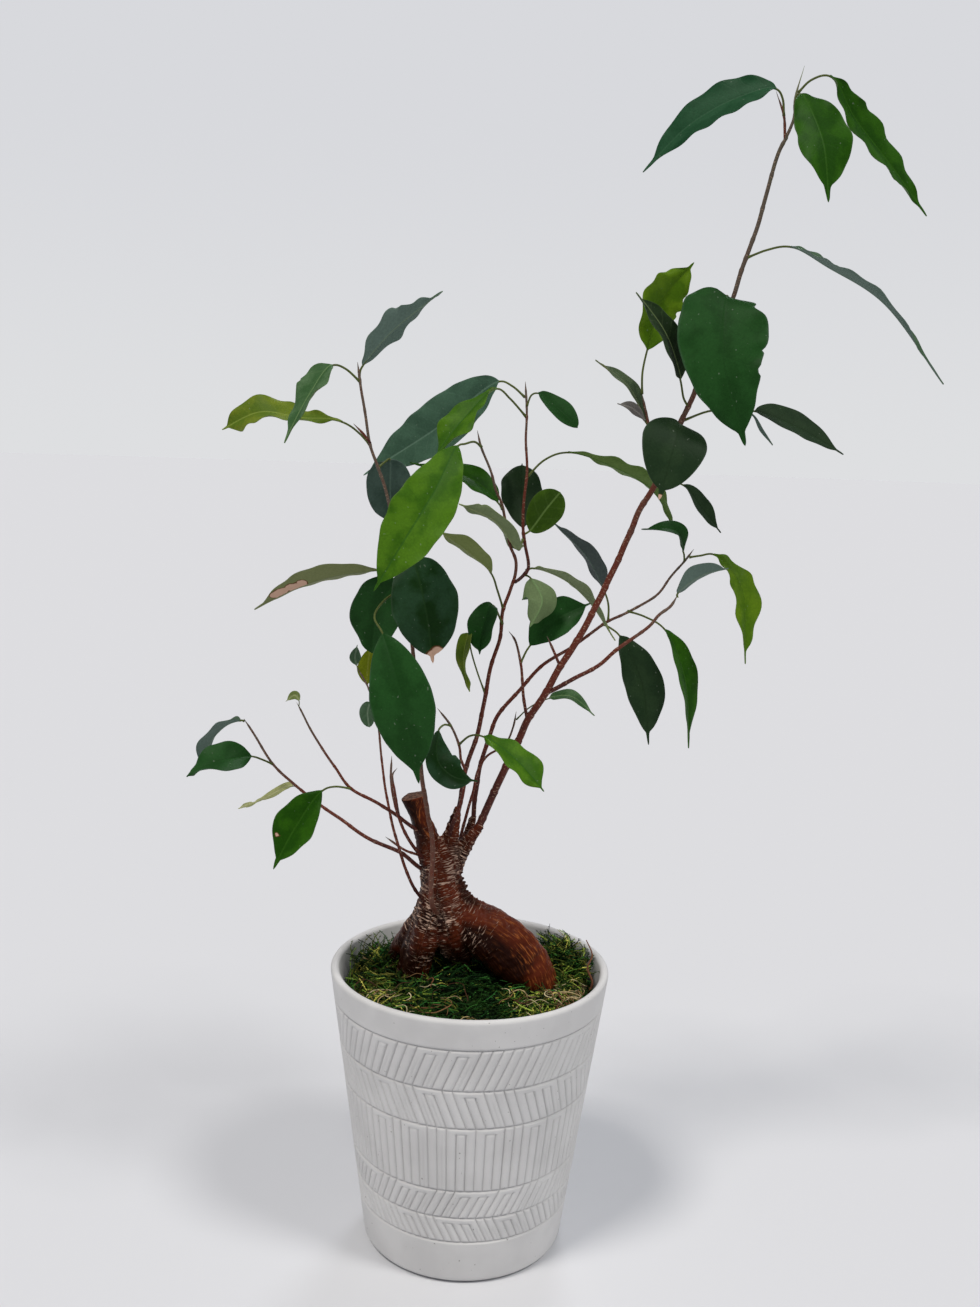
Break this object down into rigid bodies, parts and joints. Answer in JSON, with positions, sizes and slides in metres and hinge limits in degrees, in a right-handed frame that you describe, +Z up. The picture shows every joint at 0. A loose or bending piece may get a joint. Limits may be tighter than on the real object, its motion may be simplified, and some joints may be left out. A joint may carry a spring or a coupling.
{
  "type": "ginseng ficus in a pot",
  "caption": "Small potted ginseng ficus with a swollen root, thin leafy shoots and a tapered stoneware pot with herringbone relief.",
  "frame": {"origin": "centre of the pot's flat underside, on the surface it stands on", "axes": "+Z up through the pot, +X to the right as seen from the front, -Y towards the viewer"},
  "size_m": [0.3284, 0.1312, 0.5411],
  "materials": {
    "pot": "matte pale grey-white stoneware",
    "soil": "matte dark potting soil",
    "moss": "matte green moss",
    "bark": "satin red-brown bark",
    "twig": "matte dry twig",
    "foliage": "satin green leaf on red-brown stem"
  },
  "bodies": {
    "root": {"pot": "pot", "soil": "soil", "moss": "moss", "trunk": "bark", "shoot_low_left": "foliage", "shoot_upper_left": "foliage", "shoot_thin_left": "foliage", "twigs_left": "twig", "shoot_front": "foliage", "shoot_middle": "foliage", "shoot_right_low": "foliage", "shoot_tall": "foliage", "shoot_short_right": "foliage", "shoot_short_front": "foliage"}
  },
  "joints": []
}
